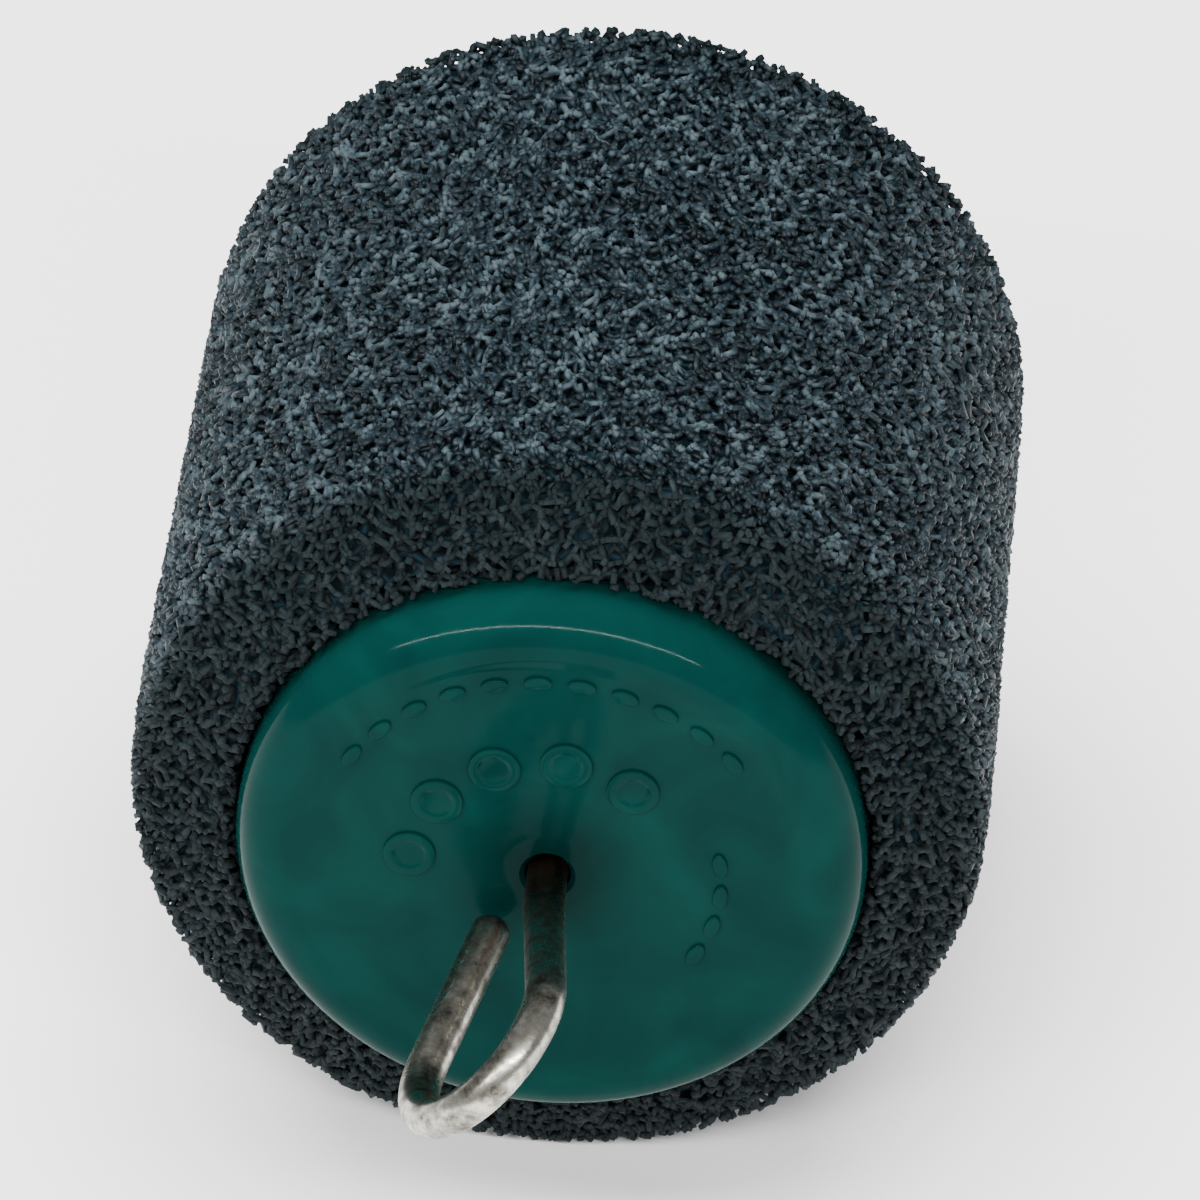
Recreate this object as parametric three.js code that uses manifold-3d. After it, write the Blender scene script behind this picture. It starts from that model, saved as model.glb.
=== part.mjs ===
// Foam piston for a duct: an open-cell foam cylinder gripped between two dished end discs.
// A tie rod runs through it. The rod is two bent wire eyes screwed into one long nut, and it
// swivels in the discs. A disc can be pressed in against the foam until its hub meets the
// spacer tube in the foam's bore.
//
// Millimetres, +Z up. The piston lies on its side along Y with its front end facing -Y, and
// the origin is on the floor under the middle of the foam.

import * as THREE from 'three';
import { mergeVertices } from 'three/addons/utils/BufferGeometryUtils.js';
import Module from 'manifold-3d';

const wasm = await Module();
wasm.setup();

// Foam cylinder
const FOAM_DIAMETER = 106; // across opposite flats of the many-sided solid
const FOAM_LENGTH = 98; // between the ends' outer edges
const FOAM_SIDES = 24; // a flat faces down, so the cylinder rests on it
const FRONT_TAPER = 0.5; // radius lost where the foam is drawn in by the front disc
const FRONT_TAPER_LENGTH = 26;
const FRONT_EDGE = 3; // rounding of the front end's outer edge
const REAR_TAPER = 0.2; // the rear end is cut squarer
const REAR_TAPER_LENGTH = 14;
const REAR_EDGE = 1.5;
const FOAM_LIP = 1.2; // rounding where the foam curls in to a disc
const FOAM_SWELL = 5; // how far the squeezed foam stands past its end's edge round a disc

// End disc, a moulded cap
const DISC_DIAMETER = 77.4;
const DISC_WALL = 2.4;
const DISC_SHOULDER = 6;
const DISC_DEPTH = 14.5; // face to the skirt's edge
const DISC_PROUD = 5.3; // shoulder's outer edge past the foam's end edge
const DISC_SIDES = 64;
const HUB_DIAMETER = 16;
const HUB_DEPTH = 16.5; // face to the hub's end
const RIB_COUNT = 6;
const RIB_WIDTH = 2;
const RIB_DEPTH = 9.5; // face to the rib's edge
const DISC_TRAVEL = 6; // how far a disc can be pressed in

// Raised marks on the disc's face
const MARK_HEIGHT = 0.5;
const DASH_LENGTH = 3.4;
const DASH_WIDTH = 1.8;
const OUTER_DASHES = { count: 11, inset: 3.6, step: 10.5, middle: 92 }; // inset from the face's edge
const INNER_DASHES = { count: 4, inset: 11.5, step: 13, middle: -12 };
const STUD_COUNT = 5;
const STUD_DIAMETER = 5;
const STUD_SIDES = 12;
const STUD_RING_DIAMETER = 34;
const STUD_STEP = 30; // degrees between studs
const STUD_MIDDLE = 112; // degrees round from +X to the middle stud

// Wire eye
const WIRE_DIAMETER = 5;
const WIRE_SIDES = 16;
const EYE_RADIUS = 11; // centreline of the round end
const EYE_REACH = 36.7; // disc face to the centreline of the round end
const EYE_OFFSET = 8.2; // rod axis to the middle of the round end
const EYE_LEAN = 8; // degrees that the near leg leans off the rod's axis
const EYE_CLOSE = 25; // degrees that the far leg closes in
const EYE_GAP = 0.4; // between the wire's tip and the disc
const EYE_SWING = 44; // degrees from straight down

// Tie rod's joint in the middle
const SHANK_GAP = 2; // between the two shanks' ends
const NUT_FLATS = 8;
const COUPLING_LENGTH = 24;
const LOCK_NUT_LENGTH = 4;
const NUT_BORE_SIDES = 24;

// Spacer tube
const TUBE_DIAMETER = 14;
const TUBE_BORE = 10.8;
const TUBE_SIDES = 32;

// Clearances
const FIT = 0.35; // between pieces that touch
const SWIVEL_FIT = 0.35; // wire in the disc's hub
const FOAM_FIT = 0.5; // foam round the hard pieces
const STOP_GAP = 0.4; // hub to spacer tube with the disc pressed right in

const foamRadius = FOAM_DIAMETER / 2;
const discRadius = DISC_DIAMETER / 2;
const faceRadius = discRadius - DISC_SHOULDER;
const hubRadius = HUB_DIAMETER / 2;
const wireRadius = WIRE_DIAMETER / 2;
const halfLength = FOAM_LENGTH / 2;
const faceOut = halfLength + DISC_PROUD + DISC_SHOULDER; // middle of the foam to a disc's face
const tubeHalf = faceOut - HUB_DEPTH - DISC_TRAVEL - STOP_GAP;

function solid(geometry) {
  const bare = geometry.index ? geometry.toNonIndexed() : geometry.clone();
  bare.deleteAttribute('normal');
  bare.deleteAttribute('uv');
  const merged = mergeVertices(bare, 1e-4);
  const mesh = new wasm.Mesh({
    numProp: 3,
    vertProperties: new Float32Array(merged.attributes.position.array),
    triVerts: new Uint32Array(merged.index.array),
  });
  return new wasm.Manifold(mesh);
}

function geometryOf(manifold) {
  const mesh = manifold.getMesh();
  const geometry = new THREE.BufferGeometry();
  geometry.setAttribute('position', new THREE.BufferAttribute(mesh.vertProperties, 3));
  geometry.setIndex(new THREE.BufferAttribute(mesh.triVerts, 1));
  return geometry;
}

function part(name, manifold, colour, roughness, metalness) {
  const material = new THREE.MeshStandardMaterial({ color: colour, roughness, metalness });
  const mesh = new THREE.Mesh(geometryOf(manifold), material);
  mesh.name = name;
  return mesh;
}

// Points of part of an ellipse between two turns, in degrees
function arc(centreX, centreY, radiusX, radiusY, from, to, steps) {
  const points = [];
  for (let i = 0; i <= steps; i++) {
    const turn = THREE.MathUtils.degToRad(from + ((to - from) * i) / steps);
    points.push([centreX + radiusX * Math.cos(turn), centreY + radiusY * Math.sin(turn)]);
  }
  return points;
}

// Turned solid from [radius, height] points, standing along +Z
function turned(points, sides) {
  const outline = points.map(([radius, height]) => new THREE.Vector2(Math.max(radius, 0), height));
  const geometry = new THREE.LatheGeometry([...outline, outline[0]], sides);
  geometry.rotateX(Math.PI / 2);
  return geometry;
}

// Outer side of the foam, from an end's rounded edge to its full radius, as [radius, distance out]
function foamShoulder(taper, taperLength, edge) {
  const corner = arc(foamRadius - taper - edge, halfLength - edge, edge, edge, 60, 10, 4);
  const side = arc(foamRadius - taper, halfLength - taperLength, taper, taperLength - edge, 70, 0, 4);
  return [...corner, ...side];
}

// Seat for a disc in the foam's end, from the bore out to the rounded lip
function foamSeat(boreRadius) {
  const hubFloor = faceOut - HUB_DEPTH - FOAM_FIT;
  const ribFloor = faceOut - RIB_DEPTH - FOAM_FIT;
  const skirtFloor = faceOut - DISC_DEPTH - FOAM_FIT;
  const hubPocket = hubRadius + FOAM_FIT;
  const skirtInside = discRadius - DISC_WALL - FOAM_FIT;
  const skirtOutside = discRadius + FOAM_FIT;
  const lipCentre = halfLength + FOAM_SWELL - FOAM_LIP;
  return [
    [boreRadius, hubFloor],
    [hubPocket, hubFloor],
    [hubPocket, ribFloor],
    [skirtInside, ribFloor],
    [skirtInside, skirtFloor],
    [skirtOutside, skirtFloor],
    ...arc(skirtOutside + FOAM_LIP, lipCentre, FOAM_LIP, FOAM_LIP, 180, 60, 4),
  ];
}

function foamBody() {
  const boreRadius = TUBE_DIAMETER / 2 + FOAM_FIT;
  const seat = foamSeat(boreRadius);
  const front = [...seat, ...foamShoulder(FRONT_TAPER, FRONT_TAPER_LENGTH, FRONT_EDGE)];
  const rear = [...seat, ...foamShoulder(REAR_TAPER, REAR_TAPER_LENGTH, REAR_EDGE)];
  const rearSide = rear.map(([radius, out]) => [radius, -out]);
  const acrossCorners = 1 / Math.cos(Math.PI / FOAM_SIDES);
  const outline = [...rearSide, ...front.reverse()];
  const corners = outline.map(([radius, out]) => [radius * acrossCorners, out]);
  const geometry = turned(corners, FOAM_SIDES);
  geometry.rotateZ(Math.PI / FOAM_SIDES);
  return solid(geometry);
}

// Adds two arcs of dashes and one of round studs, sunk in the face by half their thickness
function markedFace(cap) {
  let marked = cap;
  for (const { count, inset, step, middle } of [OUTER_DASHES, INNER_DASHES]) {
    for (let i = 0; i < count; i++) {
      const dash = new THREE.BoxGeometry(DASH_WIDTH, DASH_LENGTH, MARK_HEIGHT * 2);
      dash.translate(faceRadius - inset, 0, faceOut);
      dash.rotateZ(THREE.MathUtils.degToRad(middle + step * (i - (count - 1) / 2)));
      marked = marked.add(solid(dash));
    }
  }
  const studRadius = STUD_DIAMETER / 2;
  for (let i = 0; i < STUD_COUNT; i++) {
    const turn = STUD_MIDDLE + STUD_STEP * (i - (STUD_COUNT - 1) / 2);
    const stud = new THREE.CylinderGeometry(studRadius, studRadius, MARK_HEIGHT * 2, STUD_SIDES);
    stud.rotateX(Math.PI / 2);
    stud.translate(STUD_RING_DIAMETER / 2, 0, faceOut);
    stud.rotateZ(THREE.MathUtils.degToRad(turn));
    marked = marked.add(solid(stud));
  }
  return marked;
}

// Rib from the hub to the skirt, ending in the middle of the cap's wall
function discRib() {
  const midWall = DISC_WALL / 2;
  const inner = hubRadius - midWall;
  const turn = DISC_SHOULDER - midWall;
  const outline = [
    [inner, faceOut - RIB_DEPTH],
    [discRadius - midWall, faceOut - RIB_DEPTH],
    ...arc(faceRadius, faceOut - DISC_SHOULDER, turn, turn, 0, 90, 4),
    [inner, faceOut - midWall],
  ];
  const shape = new THREE.Shape(outline.map(([x, y]) => new THREE.Vector2(x, y)));
  const rib = new THREE.ExtrudeGeometry(shape, { depth: RIB_WIDTH, bevelEnabled: false });
  rib.translate(0, 0, -RIB_WIDTH / 2);
  rib.rotateX(Math.PI / 2);
  return rib;
}

// Dished cap with a skirt, a hub for the wire and ribs behind its face
function endDisc() {
  const holeRadius = wireRadius + SWIVEL_FIT;
  const shoulderFloor = faceOut - DISC_SHOULDER;
  const skirtInside = discRadius - DISC_WALL;
  const innerShoulder = DISC_SHOULDER - DISC_WALL;
  const outline = [
    [holeRadius, faceOut - HUB_DEPTH],
    [hubRadius, faceOut - HUB_DEPTH],
    [hubRadius, faceOut - DISC_WALL],
    ...arc(faceRadius, shoulderFloor, innerShoulder, innerShoulder, 90, 0, 3),
    [skirtInside, faceOut - DISC_DEPTH],
    [discRadius, faceOut - DISC_DEPTH],
    ...arc(faceRadius, shoulderFloor, DISC_SHOULDER, DISC_SHOULDER, 0, 90, 5),
    [holeRadius, faceOut],
  ];
  let cap = solid(turned(outline, DISC_SIDES));
  for (let i = 0; i < RIB_COUNT; i++) {
    const rib = discRib();
    rib.rotateZ(((i + 0.5) * 2 * Math.PI) / RIB_COUNT);
    cap = cap.add(solid(rib));
  }
  return markedFace(cap);
}

// Centreline of the bent wire in the plane of its eye: [distance off axis, distance out]
function eyeCentreline() {
  const centreOut = faceOut + EYE_REACH - EYE_RADIUS;
  const round = arc(EYE_OFFSET, centreOut, EYE_RADIUS, EYE_RADIUS, 180 + EYE_LEAN, -EYE_CLOSE, 16);
  const lean = THREE.MathUtils.degToRad(EYE_LEAN);
  const close = THREE.MathUtils.degToRad(EYE_CLOSE);
  const [nearOff, nearOut] = round[0];
  const bendOut = nearOut + nearOff / Math.tan(lean); // where the leaning leg meets the rod's axis
  const [farOff, farOut] = round[round.length - 1];
  const tipOut = faceOut + EYE_GAP + wireRadius;
  const tail = (farOut - tipOut) / Math.cos(close);
  const legs = [];
  for (const share of [0.25, 0.5, 0.75]) {
    legs.push([nearOff * share, bendOut + (nearOut - bendOut) * share]);
  }
  const shank = [];
  for (const share of [0, 0.3, 0.6, 0.9]) {
    shank.push([0, SHANK_GAP / 2 + (bendOut - SHANK_GAP / 2) * share]);
  }
  const tip = [];
  for (const share of [0.35, 0.7, 1]) {
    tip.push([farOff - tail * share * Math.sin(close), farOut - tail * share * Math.cos(close)]);
  }
  return [...shank, ...legs, ...round, ...tip];
}

function wireEye() {
  const points = eyeCentreline().map(([off, out]) => new THREE.Vector3(off, 0, out));
  const path = new THREE.CatmullRomCurve3(points, false, 'centripetal');
  const section = new THREE.Shape();
  section.absarc(0, 0, wireRadius, 0, Math.PI * 2);
  const wire = new THREE.ExtrudeGeometry(section, {
    steps: 64,
    curveSegments: WIRE_SIDES / 2,
    bevelEnabled: false,
    extrudePath: path,
  });
  const tip = new THREE.SphereGeometry(wireRadius, WIRE_SIDES, WIRE_SIDES / 2);
  tip.translate(points.at(-1).x, 0, points.at(-1).z);
  return solid(wire).add(solid(tip));
}

function spacerTube() {
  const outline = [
    [TUBE_BORE / 2, -tubeHalf],
    [TUBE_DIAMETER / 2, -tubeHalf],
    [TUBE_DIAMETER / 2, tubeHalf],
    [TUBE_BORE / 2, tubeHalf],
  ];
  return solid(turned(outline, TUBE_SIDES));
}

function nut(length) {
  const corner = NUT_FLATS / 2 / Math.cos(Math.PI / 6);
  const blank = new THREE.CylinderGeometry(corner, corner, length, 6);
  blank.rotateX(Math.PI / 2);
  const bore = new THREE.CylinderGeometry(wireRadius + FIT, wireRadius + FIT, length * 2,
    NUT_BORE_SIDES);
  bore.rotateX(Math.PI / 2);
  return solid(blank).subtract(solid(bore));
}

// The pieces above stand along +Z from the middle of the foam, so an end's group turns +Z to
// point out of that end and lifts it to the rod's height
function endGroup(turnAboutZ) {
  const outward = new THREE.Group();
  outward.rotation.x = Math.PI / 2;
  const end = new THREE.Group();
  end.add(outward);
  end.rotation.z = turnAboutZ;
  end.position.z = foamRadius;
  return { end, outward };
}

const FOAM_COLOUR = 0x32404a;
const DISC_COLOUR = 0x0d4a45;
const STEEL_COLOUR = 0xb4b4ae;
const TUBE_COLOUR = 0xc9c9c4;

const model = new THREE.Group();

const middle = endGroup(0);
middle.outward.add(part('foam_body', foamBody(), FOAM_COLOUR, 0.95, 0));
middle.outward.add(part('spacer_tube', spacerTube(), TUBE_COLOUR, 0.6, 0));
middle.outward.add(part('coupling_nut', nut(COUPLING_LENGTH), STEEL_COLOUR, 0.35, 1));
model.add(middle.end);

const discGeometry = endDisc();
const eyeGeometry = wireEye();
for (const [side, turn] of [['front', 0], ['rear', Math.PI]]) {
  const { end, outward } = endGroup(turn);
  outward.add(part(`${side}_disc`, discGeometry, DISC_COLOUR, 0.25, 0));
  const eye = part(`${side}_eye`, eyeGeometry, STEEL_COLOUR, 0.25, 1);
  eye.rotation.z = -Math.PI / 2 - THREE.MathUtils.degToRad(EYE_SWING);
  outward.add(eye);
  const lockNut = part(`${side}_lock_nut`, nut(LOCK_NUT_LENGTH), STEEL_COLOUR, 0.35, 1);
  lockNut.position.z = COUPLING_LENGTH / 2 + FIT + LOCK_NUT_LENGTH / 2;
  outward.add(lockNut);
  model.add(end);
}

export default model;
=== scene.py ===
"""Foam piston for a duct, as a workshop would build it: reticulated foam, two moulded discs, two wire eyes.

Metres, Z up. The piston lies along Y with its front end facing -Y, and the foam rests on the floor at z = 0.
"""

import bpy
import math
import numpy as np
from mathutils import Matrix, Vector


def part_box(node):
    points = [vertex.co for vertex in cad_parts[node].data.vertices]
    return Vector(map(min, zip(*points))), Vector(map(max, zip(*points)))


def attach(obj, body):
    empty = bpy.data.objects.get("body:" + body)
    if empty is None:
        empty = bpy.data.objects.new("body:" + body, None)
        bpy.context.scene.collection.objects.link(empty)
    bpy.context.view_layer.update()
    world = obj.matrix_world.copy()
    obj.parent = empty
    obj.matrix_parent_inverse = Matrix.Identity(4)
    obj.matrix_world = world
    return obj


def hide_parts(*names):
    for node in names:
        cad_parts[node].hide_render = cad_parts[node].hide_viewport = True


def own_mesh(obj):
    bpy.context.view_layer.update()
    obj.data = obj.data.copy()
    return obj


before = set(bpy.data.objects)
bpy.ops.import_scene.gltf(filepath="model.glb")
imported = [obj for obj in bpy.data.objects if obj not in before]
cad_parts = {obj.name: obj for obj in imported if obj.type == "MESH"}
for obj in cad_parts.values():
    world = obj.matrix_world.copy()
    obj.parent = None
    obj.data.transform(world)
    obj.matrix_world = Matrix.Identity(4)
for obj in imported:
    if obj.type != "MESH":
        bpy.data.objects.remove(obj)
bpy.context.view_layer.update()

MM = 0.001

# Where the middle of the foam is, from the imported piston
foam_low, foam_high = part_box("foam_body")
ROD_HEIGHT = (foam_low.z + foam_high.z) / 2
FOAM_RADIUS = (foam_high.z - foam_low.z) / 2

# Foam, in metres like all sizes below
FRONT_TAPER, FRONT_TAPER_LENGTH, FRONT_EDGE = 0.5 * MM, 26 * MM, 3 * MM
REAR_TAPER, REAR_TAPER_LENGTH, REAR_EDGE = 0.2 * MM, 14 * MM, 1.5 * MM
FOAM_HALF = 49 * MM  # middle to an end's outer edge
FOAM_LIP = 1.2 * MM
FOAM_SWELL = 5 * MM  # squeezed foam stands this far past its edge round a disc
CELL = 3.0 * MM  # one pore of the foam, wall to wall
STRUT = 0.43 * MM  # from a strut's middle line to its corners
SHORTEST_STRUT = 0.25 * MM
CELLS_DEEP = 2.8 * MM  # how far in the open pores are modelled before the dark inside
SIDE_LAYER, END_LAYER = 9 * MM, 7 * MM  # how far in from the sides and ends the lattice is worked out
PORE_UNEVEN = 0.36 * MM  # how far a strut's end strays from an even lattice
DRIFT, DRIFT_LENGTH = 1.3 * MM, 19 * MM  # slow waves in the lattice, where the foam rose unevenly
SEAT_GAP = 0.5 * MM  # between the foam and a disc's skirt
SEAT_ROOM = 2 * MM  # left behind a disc in the foam's dark inside, for when it is pressed in

# End disc
DISC_RADIUS = 38.7 * MM
DISC_WALL = 2.4 * MM
DISC_SHOULDER = 6 * MM
DISC_DEPTH = 14.5 * MM
DISC_FACE = 60.3 * MM  # from the middle of the foam
HUB_RADIUS = 8 * MM
HUB_DEPTH = 16.5 * MM
HUB_BORE = 2.85 * MM
FACE_RADIUS = DISC_RADIUS - DISC_SHOULDER
FACE_SUNK = 0.2 * MM  # the face inside its raised rim and outside its collar
EDGE_CUT = 0.4 * MM  # small bevels of the skirt and hub
RIB_WIDTH, RIB_DEPTH, RIB_ROUNDING = 2 * MM, 9.5 * MM, 5.5 * MM
RIB_COUNT = 6

# Raised marks on a disc's face: rows as (count, degrees apart, degrees round from +X to the middle)
MARK_HEIGHT, MARK_ROUNDING = 0.25 * MM, 0.2 * MM
DASH_LENGTH, DASH_WIDTH = 3.4 * MM, 1.8 * MM
OUTER_DASHES, OUTER_INSET = (11, 10.5, 92), 3.6 * MM
INNER_DASHES, INNER_INSET = (4, 13, -12), 11.5 * MM
BOSSES, BOSS_RING = (5, 30, 112), 17 * MM
BOSS_RADIUS, BOSS_RIM, DIMPLE_EDGE = 3.2 * MM, 1.1 * MM, 0.3 * MM

# Wire eye
WIRE_RADIUS = 2.5 * MM
EYE_RADIUS = 11 * MM
EYE_REACH = 36.7 * MM
EYE_OFFSET = 8.2 * MM
EYE_BEND = 40 * MM  # radius where the shank leans off
EYE_GAP = 0.4 * MM  # wire's end to the disc's face
SHANK_GAP = 1 * MM  # shank's end to the middle of the piston
EYE_LEAN = math.radians(8)
EYE_CLOSE = math.radians(25)
EYE_SWING = math.radians(44)

chance = np.random.default_rng(11)


# ---------------------------------------------------------------- small helpers

def colour(hex_value):
    """An sRGB hex colour as the linear numbers that a shader takes."""
    parts = [int(hex_value[i:i + 2], 16) / 255 for i in (1, 3, 5)]
    return tuple([c / 12.92 if c <= 0.04045 else ((c + 0.055) / 1.055) ** 2.4 for c in parts] + [1.0])


def nothing_selected():
    if bpy.context.mode != "OBJECT":
        bpy.ops.object.mode_set(mode="OBJECT")
    bpy.ops.object.select_all(action="DESELECT")


def take(piece):
    nothing_selected()
    piece.select_set(True)
    bpy.context.view_layer.objects.active = piece


def settle(piece, name):
    """Names the piece and puts its place into its mesh."""
    take(piece)
    bpy.ops.object.transform_apply(location=True, rotation=True, scale=True)
    piece.name = piece.data.name = name
    return piece


def arc(centre_radius, centre_out, radius, start, end, steps, radius_out=None):
    """Points of a rounded corner as (distance from the rod, distance out from the middle)."""
    high = radius if radius_out is None else radius_out
    points = []
    for i in range(steps + 1):
        turn = math.radians(start + (end - start) * i / steps)
        points.append((centre_radius + radius * math.cos(turn), centre_out + high * math.sin(turn)))
    return points


def turned(name, outline, sides, closed=False):
    """Draws a ring out along the outline of (radius, out) points, towards -Y, as turning on a lathe."""
    nothing_selected()
    first_radius, first_out = outline[0]
    bpy.ops.mesh.primitive_circle_add(
        vertices=sides, radius=first_radius,
        location=(0, -first_out, ROD_HEIGHT), rotation=(math.pi / 2, 0, 0))
    ring = bpy.context.object
    bpy.ops.object.transform_apply(location=True, rotation=True, scale=True)
    bpy.ops.object.mode_set(mode="EDIT")
    bpy.ops.mesh.select_all(action="SELECT")
    radius, out = first_radius, first_out
    for next_radius, next_out in outline[1:]:
        bpy.ops.mesh.extrude_edges_move(TRANSFORM_OT_translate={"value": (0, out - next_out, 0)})
        share = next_radius / radius
        bpy.ops.transform.resize(value=(share, 1, share), center_override=(0, -next_out, ROD_HEIGHT))
        radius, out = next_radius, next_out
    bpy.ops.mesh.select_all(action="SELECT")
    bpy.ops.mesh.remove_doubles(threshold=0.01 * MM)
    if closed:
        bpy.ops.mesh.select_all(action="DESELECT")
        bpy.ops.mesh.select_non_manifold()
        bpy.ops.mesh.fill_holes(sides=0)
    bpy.ops.mesh.select_all(action="SELECT")
    bpy.ops.mesh.normals_make_consistent(inside=False)
    bpy.ops.object.mode_set(mode="OBJECT")
    return settle(ring, name)


def copy_of(piece, name):
    take(piece)
    bpy.ops.object.duplicate()
    double = bpy.context.object
    double.name = double.data.name = name
    return double


def turned_to_rear(piece, name):
    """A copy of a front piece for the rear end, turned half round the upright axis."""
    double = copy_of(piece, name)
    double.rotation_euler = (0, 0, math.pi)
    return settle(double, name)


def joined(pieces, name):
    nothing_selected()
    for piece in pieces:
        piece.select_set(True)
    bpy.context.view_layer.objects.active = pieces[0]
    bpy.ops.object.join()
    return settle(pieces[0], name)


# ---------------------------------------------------------------- materials

def new_finish(name):
    finish = bpy.data.materials.new(name)
    finish.use_nodes = True
    tree = finish.node_tree
    shader = tree.nodes["Principled BSDF"]
    return finish, tree, shader


def add(tree, kind, settings=None, links=None, **values):
    """Adds one node, with its own settings, its sockets' values, and links from other nodes' outputs."""
    node = tree.nodes.new(kind)
    for key, value in (settings or {}).items():
        setattr(node, key, value)
    for key, value in values.items():
        node.inputs[key.replace("_", " ")].default_value = value
    for key, output in (links or {}).items():
        tree.links.new(output, node.inputs[key])
    return node


def ramp(tree, fac, stops):
    node = add(tree, "ShaderNodeValToRGB", links={"Fac": fac})
    points = node.color_ramp.elements
    while len(points) < len(stops):
        points.new(0.5)
    for point, (place, hex_value) in zip(points, stops):
        point.position, point.color = place, colour(hex_value)
    return node.outputs["Color"]


def off_rod(tree, place):
    """How far a point is from the rod's axis."""
    from_rod = add(tree, "ShaderNodeMapping", links={"Vector": place})
    from_rod.inputs["Location"].default_value = (0, 0, -ROD_HEIGHT)
    from_rod.inputs["Scale"].default_value = (1, 0, 1)
    away = add(tree, "ShaderNodeVectorMath", {"operation": "LENGTH"}, {0: from_rod.outputs[0]})
    return away.outputs["Value"]


def foam_strut_finish():
    """Polyether foam with its cell windows burnt out, dyed charcoal: shiny dark struts with a blue cast."""
    finish, tree, shader = new_finish("reticulated polyether foam, charcoal")
    place = add(tree, "ShaderNodeTexCoord").outputs["Object"]
    # Dye takes a little unevenly over 2 to 3 cm
    patches = add(tree, "ShaderNodeTexNoise", links={"Vector": place}, Scale=1 / (22.2 * MM), Detail=2.0)
    # One strut differs from the next, so this changes over 2.5 mm, about a pore's size
    struts = add(tree, "ShaderNodeTexNoise", links={"Vector": place}, Scale=1 / (2.5 * MM), Detail=2.0)
    mixed = add(tree, "ShaderNodeMath", {"operation": "MULTIPLY_ADD"},
                {0: patches.outputs["Fac"], 2: struts.outputs["Fac"]})
    mixed.inputs[1].default_value = 0.2
    shade = ramp(tree, mixed.outputs[0], [(0.4, "#060e12"), (0.6, "#0f1b21"), (0.76, "#333f44")])
    # The ends are darker and duller than the sides. The darkening is painted shade, as less light reaches the
    # end faces, and it moves with the foam when the foam is pressed
    out = add(tree, "ShaderNodeAttribute", {"attribute_name": "out_at_rest"}).outputs["Fac"]
    end = add(tree, "ShaderNodeMapRange", {"interpolation_type": "SMOOTHSTEP"}, {"Value": out},
              From_Min=FOAM_HALF - 5.5 * MM, From_Max=FOAM_HALF, To_Max=0.85)
    painted_end_shade_mix = add(tree, "ShaderNodeMix", {"data_type": "RGBA"}, {"Factor": end.outputs[0], 6: shade})
    painted_end_shade_mix.inputs[7].default_value = colour("#000d10")
    tree.links.new(painted_end_shade_mix.outputs[2], shader.inputs["Base Color"])
    # Skin of the strut, rough over 0.3 mm
    skin = add(tree, "ShaderNodeTexNoise", links={"Vector": place}, Scale=1 / (0.3125 * MM), Detail=2.0)
    rough = add(tree, "ShaderNodeMapRange", links={"Value": skin.outputs["Fac"]}, To_Min=0.42, To_Max=0.7)
    dull = add(tree, "ShaderNodeMath", {"operation": "MAXIMUM"}, {0: rough.outputs[0], 1: end.outputs[0]})
    tree.links.new(dull.outputs[0], shader.inputs["Roughness"])
    bump = add(tree, "ShaderNodeBump", links={"Height": skin.outputs["Fac"]},
               Strength=0.25, Distance=0.1 * MM)
    tree.links.new(bump.outputs[0], shader.inputs["Normal"])
    shader.inputs["IOR"].default_value = 1.5
    shader.inputs["Specular IOR Level"].default_value = 0.3
    return finish


def foam_inside_finish():
    """The same foam where light hardly reaches between the struts."""
    finish, tree, shader = new_finish("reticulated polyether foam, shaded pores")
    place = add(tree, "ShaderNodeTexCoord").outputs["Object"]
    pores = add(tree, "ShaderNodeTexVoronoi", {"feature": "DISTANCE_TO_EDGE"}, {"Vector": place},
                Scale=1.3 / CELL)
    shade = ramp(tree, pores.outputs["Distance"], [(0.0, "#13262e"), (0.1, "#0a171d"), (0.22, "#02080b")])
    tree.links.new(shade, shader.inputs["Base Color"])
    bump = add(tree, "ShaderNodeBump", {"invert": True}, {"Height": pores.outputs["Distance"]},
               Strength=0.9, Distance=0.8 * MM)
    tree.links.new(bump.outputs[0], shader.inputs["Normal"])
    shader.inputs["Roughness"].default_value = 0.95
    shader.inputs["IOR"].default_value = 1.5
    shader.inputs["Specular IOR Level"].default_value = 0.1
    return finish


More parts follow.
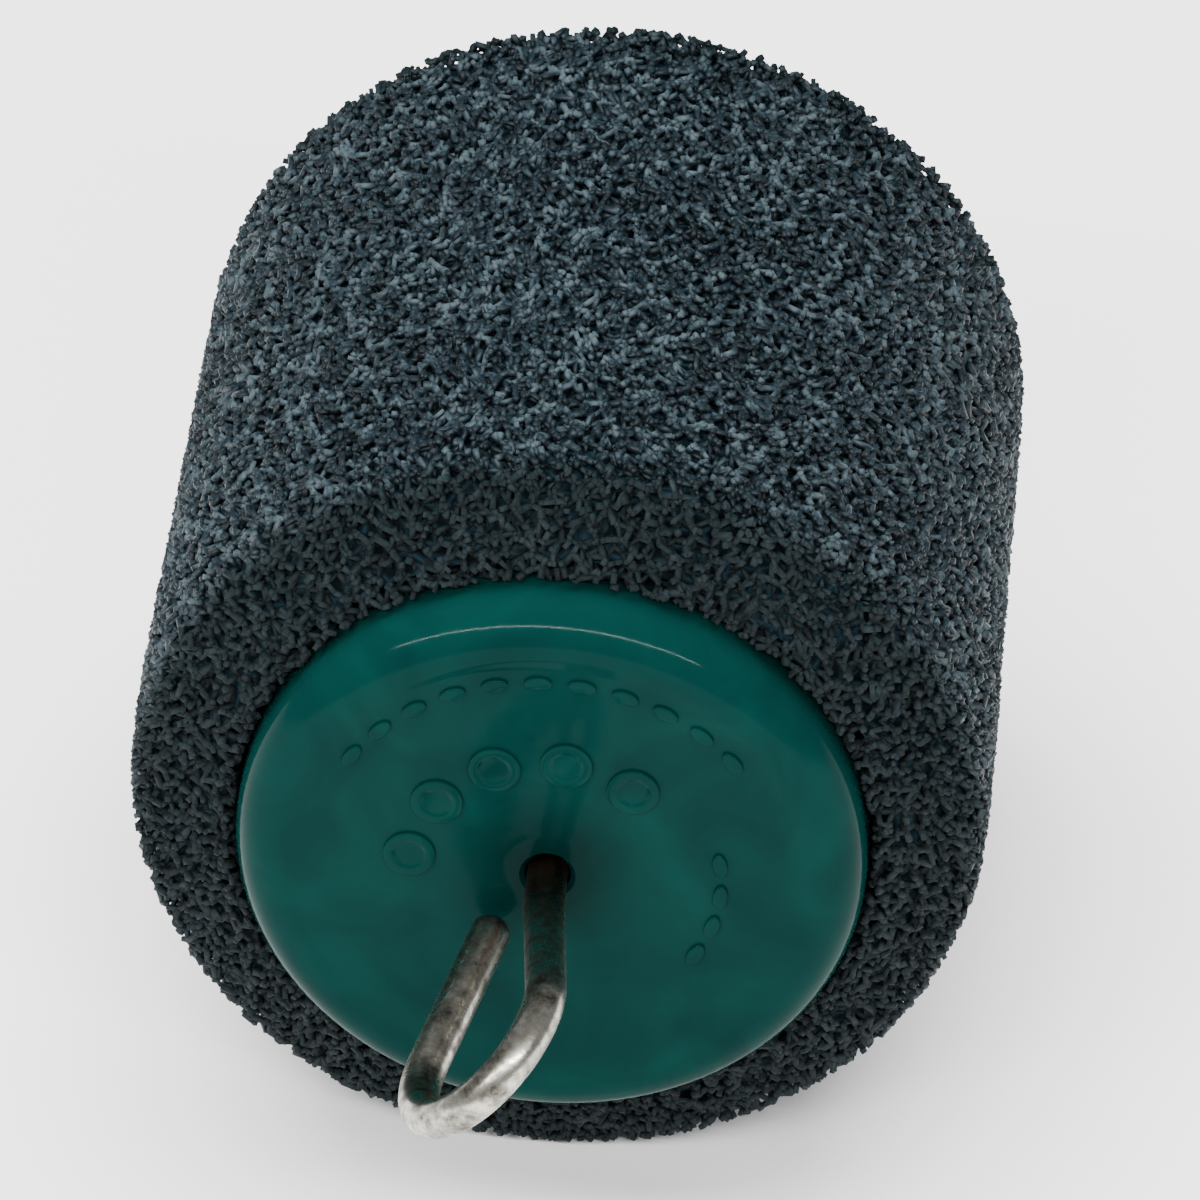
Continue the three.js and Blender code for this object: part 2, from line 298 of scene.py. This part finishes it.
def disc_finish():
    """Injection-moulded polypropylene, dark green: glossy skin with faint flow marks and handling scuffs."""
    finish, tree, shader = new_finish("moulded polypropylene, dark green")
    place = add(tree, "ShaderNodeTexCoord").outputs["Object"]
    # Flow marks about 17 mm apart
    flow = add(tree, "ShaderNodeTexNoise", links={"Vector": place},
               Scale=1 / (16.7 * MM), Detail=4.0, Distortion=1.2)
    shade = ramp(tree, flow.outputs["Fac"], [(0.3, "#002321"), (0.55, "#002926"), (0.8, "#00302b")])
    # Painted dark reflection of the eye's shank: the face darkened all round the rod's hole, fading out by 15
    # mm
    clear_of_painted_dark = add(tree, "ShaderNodeMapRange", {"interpolation_type": "SMOOTHSTEP"},
                {"Value": off_rod(tree, place)}, From_Min=3 * MM, From_Max=15 * MM, To_Min=0.3)
    painted_dark_mix = add(tree, "ShaderNodeMix", {"data_type": "RGBA"}, {"Factor": clear_of_painted_dark.outputs[0]})
    painted_dark_mix.inputs[6].default_value = colour("#000d0c")
    tree.links.new(shade, painted_dark_mix.inputs[7])
    tree.links.new(painted_dark_mix.outputs[2], shader.inputs["Base Color"])
    # Scuffs about a millimetre apart
    scuffs = add(tree, "ShaderNodeTexNoise", links={"Vector": place}, Scale=1 / (1.11 * MM), Detail=3.0)
    rough = add(tree, "ShaderNodeMapRange", links={"Value": scuffs.outputs["Fac"]},
                From_Min=0.35, From_Max=0.75, To_Min=0.08, To_Max=0.17)
    tree.links.new(rough.outputs[0], shader.inputs["Roughness"])
    # Slow waves where the plastic shrank on cooling, about 5 mm apart, with the scuffs on top
    waves = add(tree, "ShaderNodeTexNoise", links={"Vector": place}, Scale=1 / (5.26 * MM), Detail=2.0)
    height = add(tree, "ShaderNodeMath", {"operation": "MULTIPLY_ADD"},
                 {0: scuffs.outputs["Fac"], 2: waves.outputs["Fac"]})
    height.inputs[1].default_value = 0.15
    bump = add(tree, "ShaderNodeBump", links={"Height": height.outputs[0]}, Strength=0.12, Distance=0.25 * MM)
    tree.links.new(bump.outputs[0], shader.inputs["Normal"])
    shader.inputs["IOR"].default_value = 1.49
    shader.inputs["Specular IOR Level"].default_value = 0.03
    return finish


def wire_finish():
    """Bright zinc-plated steel wire: drawn, bent cold and plated, with small dull spots."""
    finish, tree, shader = new_finish("zinc-plated steel wire")
    place = add(tree, "ShaderNodeTexCoord").outputs["Object"]
    # Dull spots 2 to 3 mm across, with finer ones in them
    plating = add(tree, "ShaderNodeTexNoise", links={"Vector": place},
                  Scale=1 / (2.38 * MM), Detail=5.0, Roughness=0.65)
    shade = ramp(tree, plating.outputs["Fac"], [(0.34, "#4a4842"), (0.48, "#86837a"), (0.66, "#bdbab0")])
    # Painted shade where the wire turns in at the disc, as the shank lies in shadow there: darker and browner
    # near the face, and near the rod's own line
    off_line = add(tree, "ShaderNodeMapRange", links={"Value": off_rod(tree, place)},
                   From_Min=5.4 * MM, From_Max=7 * MM)
    out = add(tree, "ShaderNodeSeparateXYZ", links={"Vector": place}).outputs["Y"]
    out = add(tree, "ShaderNodeMath", {"operation": "ABSOLUTE"}, {0: out}).outputs[0]
    past_face = add(tree, "ShaderNodeMapRange", links={"Value": out},
                    From_Min=DISC_FACE + 5 * MM, From_Max=DISC_FACE + 15 * MM)
    clear_of_painted_dark = add(tree, "ShaderNodeMath", {"operation": "MAXIMUM"},
                {0: off_line.outputs[0], 1: past_face.outputs[0]})
    painted_dark_mix = add(tree, "ShaderNodeMix", {"data_type": "RGBA"}, {"Factor": clear_of_painted_dark.outputs[0], 7: shade})
    painted_dark_mix.inputs[6].default_value = colour("#5d4b3e")
    tree.links.new(painted_dark_mix.outputs[2], shader.inputs["Base Color"])
    rough = add(tree, "ShaderNodeMapRange", links={"Value": plating.outputs["Fac"]},
                From_Min=0.3, From_Max=0.7, To_Min=0.42, To_Max=0.2)
    tree.links.new(rough.outputs[0], shader.inputs["Roughness"])
    bump = add(tree, "ShaderNodeBump", links={"Height": plating.outputs["Fac"]},
               Strength=0.35, Distance=0.15 * MM)
    tree.links.new(bump.outputs[0], shader.inputs["Normal"])
    shader.inputs["Metallic"].default_value = 1.0
    return finish


def nut_finish():
    """Milled steel nut, left bare: fine cutter marks across it."""
    finish, tree, shader = new_finish("milled steel, bare")
    place = add(tree, "ShaderNodeTexCoord").outputs["Object"]
    # Cuts 4 mm long and a third of a millimetre apart along the rod
    squeezed = add(tree, "ShaderNodeMapping", links={"Vector": place})
    squeezed.inputs["Scale"].default_value = (1.0, 12.0, 1.0)
    cuts = add(tree, "ShaderNodeTexNoise", links={"Vector": squeezed.outputs[0]},
               Scale=1 / (3.85 * MM), Detail=3.0)
    shade = ramp(tree, cuts.outputs["Fac"], [(0.3, "#77756f"), (0.7, "#b5b3ac")])
    tree.links.new(shade, shader.inputs["Base Color"])
    bump = add(tree, "ShaderNodeBump", links={"Height": cuts.outputs["Fac"]},
               Strength=0.3, Distance=0.05 * MM)
    tree.links.new(bump.outputs[0], shader.inputs["Normal"])
    shader.inputs["Metallic"].default_value = 1.0
    shader.inputs["Roughness"].default_value = 0.35
    return finish


def tube_finish():
    """Extruded rigid tube, off-white, with a dull skin and faint die lines along it."""
    finish, tree, shader = new_finish("extruded tube, off-white")
    place = add(tree, "ShaderNodeTexCoord").outputs["Object"]
    # Die lines 1.4 mm apart, 25 times as long along the tube
    squeezed = add(tree, "ShaderNodeMapping", links={"Vector": place})
    squeezed.inputs["Scale"].default_value = (1.0, 0.04, 1.0)
    lines = add(tree, "ShaderNodeTexNoise", links={"Vector": squeezed.outputs[0]},
                Scale=1 / (1.43 * MM), Detail=3.0)
    shade = ramp(tree, lines.outputs["Fac"], [(0.3, "#bdbdb6"), (0.7, "#d2d2cc")])
    tree.links.new(shade, shader.inputs["Base Color"])
    bump = add(tree, "ShaderNodeBump", links={"Height": lines.outputs["Fac"]},
               Strength=0.2, Distance=0.05 * MM)
    tree.links.new(bump.outputs[0], shader.inputs["Normal"])
    shader.inputs["Roughness"].default_value = 0.55
    shader.inputs["IOR"].default_value = 1.49
    return finish


def wear(piece, finish):
    piece.data.materials.clear()
    piece.data.materials.append(finish)


# ---------------------------------------------------------------- foam

def foam_outline(taper, taper_length, edge, inset):
    """One end's outside, from the middle's edge out and in to the disc, set in by a depth."""
    full = FOAM_RADIUS
    side = [(full - inset, 0)]
    side += arc(full - taper, FOAM_HALF - taper_length, taper, 0, 70, 6, taper_length - edge)
    side = [(r - inset if i else r, o) for i, (r, o) in enumerate(side)]
    corner = arc(full - taper - edge, FOAM_HALF - edge, edge - inset, 10, 60, 6)
    seat = DISC_RADIUS + SEAT_GAP
    if inset:
        lip = [(seat + inset, FOAM_HALF + FOAM_SWELL - inset)]
    else:
        lip = arc(seat + FOAM_LIP, FOAM_HALF + FOAM_SWELL - FOAM_LIP, FOAM_LIP, 60, 180, 8)
    seat_out = DISC_FACE - DISC_DEPTH - (SEAT_ROOM if inset else 0)
    return side + corner + lip + [(seat + inset, seat_out)]


def depth_under(points, outline):
    """How far points of (radius, out) are outside an outline, below zero inside it."""
    line = np.array(outline)
    starts, ways = line[:-1], np.diff(line, axis=0)
    nearest = np.full(len(points), np.inf)
    side = np.ones(len(points))
    for start, way in zip(starts, ways):
        gap = points - start
        along = np.clip(gap @ way / (way @ way), 0, 1)
        off = gap - along[:, None] * way
        distance = np.hypot(off[:, 0], off[:, 1])
        closer = distance < nearest
        nearest[closer] = distance[closer]
        outward = way[1] * off[:, 0] - way[0] * off[:, 1]
        side[closer] = np.where(outward[closer] >= 0, 1.0, -1.0)
    return nearest * side


def key_of(grid, count, size):
    """One whole number for each place on the grid."""
    along, across, up = (grid + 2 * count).T
    return (along * size + across) * size + up


def lattice_joints(reach):
    """Strut ends of packed fourteen-sided pores, and which two each strut joins.

    The lattice is turned off the rod's axis, so that its rows don't line up with the cylinder.
    """
    quarter = CELL / 4
    count = int(reach / quarter)
    turn = np.linalg.qr(np.array([[0.82, 0.31, -0.48], [-0.17, 0.93, 0.33], [0.51, -0.2, 0.84]]))[0]
    span = np.arange(-count, count + 1)
    j, k = np.meshgrid(span, span, indexing="ij")
    j, k = j.ravel(), k.ravel()
    kept = []
    for i in span:
        grid = np.stack([np.full_like(j, i), j, k], 1)
        odd = grid % 2 != 0
        remainders = grid % 4
        right = (odd.sum(1) == 1) & ((remainders == 0).sum(1) == 1)
        grid = grid[right]
        points = grid * quarter @ turn.T
        radius = np.hypot(points[:, 0], points[:, 2])
        near = (radius < FOAM_RADIUS + CELL) & (np.abs(points[:, 1]) < FOAM_HALF + FOAM_SWELL + CELL)
        near &= (radius > FOAM_RADIUS - SIDE_LAYER) | (np.abs(points[:, 1]) > FOAM_HALF - END_LAYER)
        near &= radius > DISC_RADIUS - 2 * MM  # nothing shows behind a disc
        kept.append(grid[near])
    grid = np.concatenate(kept)
    points = grid * quarter @ turn.T
    # Each joint meets four others: its odd place goes even, and the even place of that kind goes odd
    size = 4 * count + 9
    keys = key_of(grid, count, size)
    order = np.argsort(keys)
    sorted_keys = keys[order]
    pairs = []
    odd_at = np.argmax(grid % 2 != 0, axis=1)
    rows = np.arange(len(grid))
    for step in (-1, 1):
        moved = grid[rows, odd_at] + step
        for other_step in (-1, 1):
            target = grid.copy()
            target[rows, odd_at] = moved
            kind = moved % 4
            same = (grid % 4 == kind[:, None]) & (np.arange(3) != odd_at[:, None])
            at = np.argmax(same, axis=1)
            target[rows, at] += other_step
            wanted = key_of(target, count, size)
            found = np.searchsorted(sorted_keys, wanted)
            found[found == len(sorted_keys)] = 0
            hit = (sorted_keys[found] == wanted) & (keys < wanted)
            pairs.append(np.stack([rows[hit], order[found[hit]]], 1))
    return points, np.concatenate(pairs)


def foam_struts():
    """Both ends of every strut near the surface, cut off at the foam's skin as a blade leaves them."""
    reach = 1.75 * FOAM_RADIUS  # past the foam's farthest corner from its middle
    points, pairs = lattice_joints(reach)
    wave = 2 * math.pi / DRIFT_LENGTH
    drift = np.stack([np.sin(points[:, 1] * wave + 1.3 * np.sin(points[:, 2] * wave * 0.7)),
                      np.sin(points[:, 2] * wave * 0.83 + points[:, 0] * wave * 0.4),
                      np.sin(points[:, 0] * wave * 1.1 - points[:, 1] * wave * 0.3)], 1)
    points = points + drift * DRIFT + chance.normal(0, PORE_UNEVEN, points.shape)
    flat = np.stack([np.hypot(points[:, 0], points[:, 2]), np.abs(points[:, 1])], 1)
    front = points[:, 1] < 0
    over = np.empty(len(points))
    over[front] = depth_under(flat[front], foam_outline(FRONT_TAPER, FRONT_TAPER_LENGTH, FRONT_EDGE, 0))
    over[~front] = depth_under(flat[~front], foam_outline(REAR_TAPER, REAR_TAPER_LENGTH, REAR_EDGE, 0))
    skin = -STRUT * 0.2
    start, end = pairs[:, 0], pairs[:, 1]
    swap = over[start] > over[end]
    start, end = np.where(swap, end, start), np.where(swap, start, end)
    use = (over[start] < skin - 0.1 * MM) & (over[end] > -CELLS_DEEP)
    start, end = start[use], end[use]
    a, b = points[start], points[end]
    share = np.clip((skin - over[start]) / np.maximum(over[end] - over[start], 1e-9), 0, 1)
    b = np.where((over[end] > skin)[:, None], a + (b - a) * share[:, None], b)
    long_enough = np.linalg.norm(b - a, axis=1) > SHORTEST_STRUT
    a, b = a[long_enough], b[long_enough]
    height = np.array([0, 0, ROD_HEIGHT])
    return a + height, b + height


def strut_mesh(name, a, b):
    """Four-sided struts, each closed, shaded round, and with its own place on the bake's map."""
    count = len(a)
    way = b - a
    way /= np.linalg.norm(way, axis=1)[:, None]
    helper = chance.normal(size=way.shape)
    across = np.cross(way, helper)
    across /= np.linalg.norm(across, axis=1)[:, None]
    up = np.cross(way, across)
    thick = STRUT * chance.uniform(0.75, 1.25, count)
    corners = []
    for base in (a, b):
        for k in range(4):
            turn = math.pi * k / 2
            corners.append(base + (across * math.cos(turn) + up * math.sin(turn)) * thick[:, None])
    vertices = np.stack(corners, 1).reshape(-1, 3)
    shape = np.array([0, 1, 5, 4, 1, 2, 6, 5, 2, 3, 7, 6, 3, 0, 4, 7, 3, 2, 1, 0, 4, 5, 6, 7])
    loops = (np.arange(count)[:, None] * 8 + shape).ravel()
    sizes = np.full(6 * count, 4)
    starts = np.concatenate([[0], np.cumsum(sizes)[:-1]])
    mesh = bpy.data.meshes.new(name)
    mesh.vertices.add(len(vertices))
    mesh.vertices.foreach_set("co", vertices.astype(np.float32).ravel())
    mesh.loops.add(len(loops))
    mesh.loops.foreach_set("vertex_index", loops.astype(np.int32))
    mesh.polygons.add(len(sizes))
    mesh.polygons.foreach_set("loop_start", starts.astype(np.int32))
    mesh.update(calc_edges=True)
    mesh.shade_smooth()
    out = mesh.attributes.new("out_at_rest", "FLOAT", "POINT")
    out.data.foreach_set("value", np.abs(vertices[:, 1]).astype(np.float32))
    # Each strut's sides lie next to each other on one tile, and its cut ends above and below them
    tiles = math.ceil(math.sqrt(count))
    tile = []
    for k in range(4):
        left, right = k / 4 + 0.03, (k + 1) / 4 - 0.03
        tile += [(left, 0.16), (right, 0.16), (right, 0.84), (left, 0.84)]
    for low, high in ((0.02, 0.12), (0.88, 0.98)):
        tile += [(0.1, low), (0.9, low), (0.9, high), (0.1, high)]
    corner = np.stack([np.arange(count) % tiles, np.arange(count) // tiles], 1)
    places = (corner[:, None, :] + np.array(tile)[None]) / tiles
    layer = mesh.uv_layers.new(name="OFBake")
    layer.uv.foreach_set("vector", places.astype(np.float32).ravel())
    piece = bpy.data.objects.new(name, mesh)
    bpy.context.scene.collection.objects.link(piece)
    return piece


def foam_half(end, side, taper, taper_length, edge, struts_a, struts_b, strut_look, inside_look):
    """One end's half of the foam: open pores over a dark inside, shortened as its disc is pressed in."""
    outline = foam_outline(taper, taper_length, edge, CELLS_DEEP - 0.5 * MM)
    outline += [(HUB_RADIUS, DISC_FACE - HUB_DEPTH - 1 * MM - SEAT_ROOM), (HUB_RADIUS, 0)]
    core = turned(f"foam_inside_{end}", outline, 96, closed=True)
    if side > 0:
        core = turned_in_place(core)
    wear(core, inside_look)
    mine = (struts_a[:, 1] + struts_b[:, 1]) * side > 0
    cells = strut_mesh(f"foam_{end}", struts_a[mine], struts_b[mine])
    wear(cells, strut_look)
    for piece in (core, cells):
        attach(piece, "foam")
        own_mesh(piece)
    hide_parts("foam_body")


def turned_in_place(piece):
    piece.rotation_euler = (0, 0, math.pi)
    return settle(piece, piece.name)


# ---------------------------------------------------------------- end discs

def disc_cap():
    """The moulded cap with its skirt and hub: a shallow bead where the face meets the shoulder."""
    shoulder_out = DISC_FACE - DISC_SHOULDER
    inner = DISC_SHOULDER - DISC_WALL
    outline = [
        (HUB_BORE, DISC_FACE - HUB_DEPTH), (HUB_RADIUS - EDGE_CUT, DISC_FACE - HUB_DEPTH),
        (HUB_RADIUS, DISC_FACE - HUB_DEPTH + EDGE_CUT), (HUB_RADIUS, DISC_FACE - DISC_WALL)]
    outline += arc(FACE_RADIUS, shoulder_out, inner, 90, 0, 8)
    outline += [
        (DISC_RADIUS - DISC_WALL, DISC_FACE - DISC_DEPTH + EDGE_CUT),
        (DISC_RADIUS - DISC_WALL + EDGE_CUT, DISC_FACE - DISC_DEPTH),
        (DISC_RADIUS - EDGE_CUT, DISC_FACE - DISC_DEPTH), (DISC_RADIUS, DISC_FACE - DISC_DEPTH + EDGE_CUT)]
    outline += arc(FACE_RADIUS, shoulder_out, DISC_SHOULDER, 0, 90, 24)
    # In from the rim, across a face that is slightly hollow, and up a low collar round the rod
    outline += [
        (FACE_RADIUS - 0.5 * MM, DISC_FACE - 0.03 * MM), (FACE_RADIUS - 1.0 * MM, DISC_FACE - 0.15 * MM),
        (FACE_RADIUS - 1.8 * MM, DISC_FACE - FACE_SUNK), (20 * MM, DISC_FACE - FACE_SUNK - 0.04 * MM),
        (7 * MM, DISC_FACE - FACE_SUNK), (6 * MM, DISC_FACE - 0.05 * MM), (5.4 * MM, DISC_FACE),
        (HUB_BORE + 0.6 * MM, DISC_FACE), (HUB_BORE, DISC_FACE - 0.6 * MM), (HUB_BORE, DISC_FACE - HUB_DEPTH)]
    return turned("disc_cap", outline, 128)


def raised_dash(inset, turn):
    """A short raised oval on the face, rounded over its top edge."""
    nothing_selected()
    bpy.ops.mesh.primitive_cylinder_add(
        vertices=32, radius=DASH_WIDTH / 2, depth=2 * MARK_HEIGHT,
        location=(FACE_RADIUS - inset, -DISC_FACE, 0), rotation=(math.pi / 2, 0, 0))
    bpy.ops.object.transform_apply(location=True, rotation=True, scale=True)
    bpy.ops.transform.resize(value=(1, 1, DASH_LENGTH / DASH_WIDTH))
    return rounded_mark(turn)


def raised_ring(turn):
    """A raised round boss with a dimple in its middle."""
    nothing_selected()
    bpy.ops.mesh.primitive_cylinder_add(
        vertices=32, radius=BOSS_RADIUS, depth=2 * MARK_HEIGHT,
        location=(BOSS_RING, -DISC_FACE, 0), rotation=(math.pi / 2, 0, 0))
    boss = bpy.context.object
    bpy.ops.object.transform_apply(location=True, rotation=True, scale=True)
    bpy.ops.object.mode_set(mode="EDIT")
    bpy.ops.mesh.select_mode(type="FACE")
    bpy.ops.mesh.select_all(action="DESELECT")
    bpy.ops.object.mode_set(mode="OBJECT")
    for face in boss.data.polygons:
        face.select = face.normal.y < -0.9
    bpy.ops.object.mode_set(mode="EDIT")
    bpy.ops.mesh.inset(thickness=BOSS_RIM, depth=0)
    bpy.ops.mesh.inset(thickness=DIMPLE_EDGE, depth=-MARK_HEIGHT)
    bpy.ops.object.mode_set(mode="OBJECT")
    return rounded_mark(turn)


def rounded_mark(turn):
    """Rounds the mark just made and turns it to its place round the rod."""
    mark = bpy.context.object
    bpy.ops.object.transform_apply(location=True, rotation=True, scale=True)
    bevel = mark.modifiers.new("Round", "BEVEL")
    bevel.width, bevel.segments, bevel.limit_method = MARK_ROUNDING, 3, "ANGLE"
    bpy.ops.object.modifier_apply(modifier=bevel.name)
    mark.rotation_euler = (0, -turn, 0)
    mark.location = (0, 0, ROD_HEIGHT)
    return settle(mark, "mark")


def along_arc(count, step, middle):
    """Angles of evenly spaced marks, from degrees."""
    return [math.radians(middle + step * (i - (count - 1) / 2)) for i in range(count)]


def front_disc():
    marks = [raised_dash(OUTER_INSET, turn) for turn in along_arc(*OUTER_DASHES)]
    marks += [raised_dash(INNER_INSET, turn) for turn in along_arc(*INNER_DASHES)]
    marks += [raised_ring(turn) for turn in along_arc(*BOSSES)]
    ribs = [disc_rib(2 * math.pi * (i + 0.5) / RIB_COUNT) for i in range(RIB_COUNT)]
    disc = joined([disc_cap()] + marks + ribs, "disc_front")
    bpy.ops.object.shade_smooth_by_angle(angle=math.radians(35))
    return disc


def disc_rib(turn):
    """A stiffening web behind the face, from the hub to the skirt."""
    nothing_selected()
    inner, outer = HUB_RADIUS - 1 * MM, DISC_RADIUS - 1 * MM
    back, front = DISC_FACE - RIB_DEPTH, DISC_FACE - 1 * MM
    bpy.ops.mesh.primitive_cube_add(size=1, location=((inner + outer) / 2, -(back + front) / 2, 0))
    bpy.ops.transform.resize(value=(outer - inner, front - back, RIB_WIDTH))
    rib = bpy.context.object
    bpy.ops.object.transform_apply(location=True, rotation=True, scale=True)
    bpy.ops.object.mode_set(mode="EDIT")
    bpy.ops.mesh.select_mode(type="EDGE")
    bpy.ops.mesh.select_all(action="DESELECT")
    bpy.ops.object.mode_set(mode="OBJECT")
    for edge in rib.data.edges:
        middle = sum((rib.data.vertices[v].co for v in edge.vertices), Vector()) / 2
        edge.select = middle.x > outer - 0.1 * MM and middle.y < -front + 0.1 * MM
    bpy.ops.object.mode_set(mode="EDIT")
    bpy.ops.mesh.bevel(offset=RIB_ROUNDING, segments=6)
    bpy.ops.object.mode_set(mode="OBJECT")
    rib.rotation_euler = (0, -turn, 0)
    rib.location = (0, 0, ROD_HEIGHT)
    return settle(rib, "rib")


# ---------------------------------------------------------------- wire eyes

def eye_line():
    """The bent wire's middle line as (distance off the rod's axis, distance out)."""
    centre_out = DISC_FACE + EYE_REACH - EYE_RADIUS
    loop = arc(EYE_OFFSET, centre_out, EYE_RADIUS, 180 + math.degrees(EYE_LEAN), -math.degrees(EYE_CLOSE), 48)
    near_off, near_out = loop[0]
    bend_out = near_out + near_off / math.tan(EYE_LEAN)
    reach = EYE_BEND * math.tan(EYE_LEAN / 2)
    line = [(0, SHANK_GAP + (bend_out - reach - SHANK_GAP) * i / 12) for i in range(12)]
    for i in range(9):
        turn = EYE_LEAN * i / 8
        line.append((-EYE_BEND * (1 - math.cos(turn)), bend_out - reach + EYE_BEND * math.sin(turn)))
    bent_off, bent_out = line[-1]
    for i in range(1, 6):
        line.append((bent_off + (near_off - bent_off) * i / 6, bent_out + (near_out - bent_out) * i / 6))
    far_off, far_out = loop[-1]
    tail = (far_out - DISC_FACE - EYE_GAP - WIRE_RADIUS) / math.cos(EYE_CLOSE)
    tail_off, tail_out = tail * math.sin(EYE_CLOSE), tail * math.cos(EYE_CLOSE)
    tip = [(far_off - tail_off * i / 8, far_out - tail_out * i / 8) for i in range(1, 9)]
    return line + loop + tip


def wire_eye():
    """Round wire along the eye's line, its shank's end bevelled and its open end rounded."""
    line = eye_line()
    last, before = Vector(line[-1]), Vector(line[-2])
    way = (last - before).normalized()
    rounding = [(t, math.sqrt(1 - t * t)) for t in (0.3, 0.55, 0.75, 0.9, 0.98)]
    points = [(off, out, 1.0) for off, out in line]
    points[0] = (*line[0], 0.8)
    points.insert(1, (line[0][0], line[0][1] + 0.5 * MM, 1.0))
    for t, size in rounding:
        end = last + way * WIRE_RADIUS * 0.85 * t
        points.append((end.x, end.y, size))
    curve = bpy.data.curves.new("eye_front", "CURVE")
    curve.dimensions = "3D"
    curve.bevel_depth, curve.bevel_resolution, curve.use_fill_caps = WIRE_RADIUS, 10, True
    spline = curve.splines.new("POLY")
    spline.points.add(len(points) - 1)
    side = (-math.sin(EYE_SWING), -math.cos(EYE_SWING))
    for point, (off, out, size) in zip(spline.points, points):
        point.co = (off * side[0], -out, ROD_HEIGHT + off * side[1], 1)
        point.radius = size
    eye = bpy.data.objects.new("eye_front", curve)
    bpy.context.scene.collection.objects.link(eye)
    take(eye)
    bpy.ops.object.convert(target="MESH")
    eye = bpy.context.object
    bpy.ops.object.mode_set(mode="EDIT")
    bpy.ops.mesh.select_all(action="SELECT")
    bpy.ops.mesh.remove_doubles(threshold=0.01 * MM)
    bpy.ops.mesh.normals_make_consistent(inside=False)
    bpy.ops.object.mode_set(mode="OBJECT")
    settle(eye, "eye_front")
    bpy.ops.object.shade_smooth_by_angle(angle=math.radians(50))
    return eye


# ---------------------------------------------------------------- build

strut_look, inside_look = foam_strut_finish(), foam_inside_finish()
disc_look, wire_look = disc_finish(), wire_finish()

strut_ends_a, strut_ends_b = foam_struts()
foam_half("front", -1, FRONT_TAPER, FRONT_TAPER_LENGTH, FRONT_EDGE, strut_ends_a, strut_ends_b,
          strut_look, inside_look)
foam_half("rear", 1, REAR_TAPER, REAR_TAPER_LENGTH, REAR_EDGE, strut_ends_a, strut_ends_b,
          strut_look, inside_look)

disc = front_disc()
eye = wire_eye()
for piece, body, node, slot, look in (
        (disc, "front_plate", "front_disc", "disc", disc_look),
        (turned_to_rear(disc, "disc_rear"), "rear_plate", "rear_disc", "disc", disc_look),
        (eye, "tie_rod", "front_eye", "wire", wire_look),
        (turned_to_rear(eye, "eye_rear"), "tie_rod", "rear_eye", "wire", wire_look)):
    wear(piece, look)
    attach(piece, body)
    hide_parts(node)

nut_look = nut_finish()
for node in ("coupling_nut", "front_lock_nut", "rear_lock_nut"):
    wear(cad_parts[node], nut_look)
wear(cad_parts["spacer_tube"], tube_finish())


# ---------------------------------------------------------------- floor, light and camera

nothing_selected()
bpy.ops.mesh.primitive_plane_add(size=6, location=(0, 0, 0))
floor = bpy.context.object
floor.name = "floor"
floor_look, floor_tree, floor_shader = new_finish("pale painted board")
# Unevenness of the paint over a third of a metre
grain = add(floor_tree, "ShaderNodeTexNoise", Scale=1 / (333.3 * MM), Detail=4.0)
floor_tree.links.new(ramp(floor_tree, grain.outputs["Fac"], [(0.3, "#f3f3f2"), (0.7, "#f7f7f6")]),
                     floor_shader.inputs["Base Color"])
floor_shader.inputs["Roughness"].default_value = 0.8
wear(floor, floor_look)


def soft_light(name, place, aim, width, height, power):
    light = bpy.data.lights.new(name, "AREA")
    light.shape, light.size, light.size_y, light.energy = "RECTANGLE", width, height, power
    lamp = bpy.data.objects.new(name, light)
    lamp.location = place
    lamp.rotation_euler = (Vector(aim) - Vector(place)).to_track_quat("-Z", "Y").to_euler()
    bpy.context.scene.collection.objects.link(lamp)
    return lamp


overhead = soft_light("overhead", (-0.1, 0.35, 1.6), (0, 0, 0.05), 2.2, 1.8, 115)
# Lit as through a polariser, so that it puts no sheen on the plastic
overhead.visible_glossy = False
soft_light("front_strip", (-0.12, -1.0, 1.0), (0, -0.06, 0.07), 2.3, 0.05, 46)

world = bpy.data.worlds.new("studio")
world.use_nodes = True
world.node_tree.nodes["Background"].inputs["Color"].default_value = colour("#f2f4f5")
world.node_tree.nodes["Background"].inputs["Strength"].default_value = 0.4
bpy.context.scene.world = world

VIEW_AZIMUTH, VIEW_ELEVATION = math.radians(4.58), math.radians(36.25)
VIEW_DISTANCE = 1.2648
VIEW_RIGHT, VIEW_DOWN = 1.6 * MM, 2.0 * MM  # the frame's middle, off the foam's
right = Vector((math.cos(VIEW_AZIMUTH), math.sin(VIEW_AZIMUTH), 0))
level = math.cos(VIEW_ELEVATION)
back = Vector((right.y * level, -right.x * level, math.sin(VIEW_ELEVATION)))
camera_data = bpy.data.cameras.new("camera")
camera_data.lens, camera_data.sensor_width = 300, 36
camera_data.clip_start, camera_data.clip_end = 0.05, 20
camera = bpy.data.objects.new("camera", camera_data)
camera.rotation_mode = "QUATERNION"
camera.rotation_quaternion = (-back).to_track_quat("-Z", "Y")
camera.location = (Vector((0, 0, ROD_HEIGHT)) + back * VIEW_DISTANCE + right * VIEW_RIGHT
                   - back.cross(right) * VIEW_DOWN)
bpy.context.scene.collection.objects.link(camera)
bpy.context.scene.camera = camera
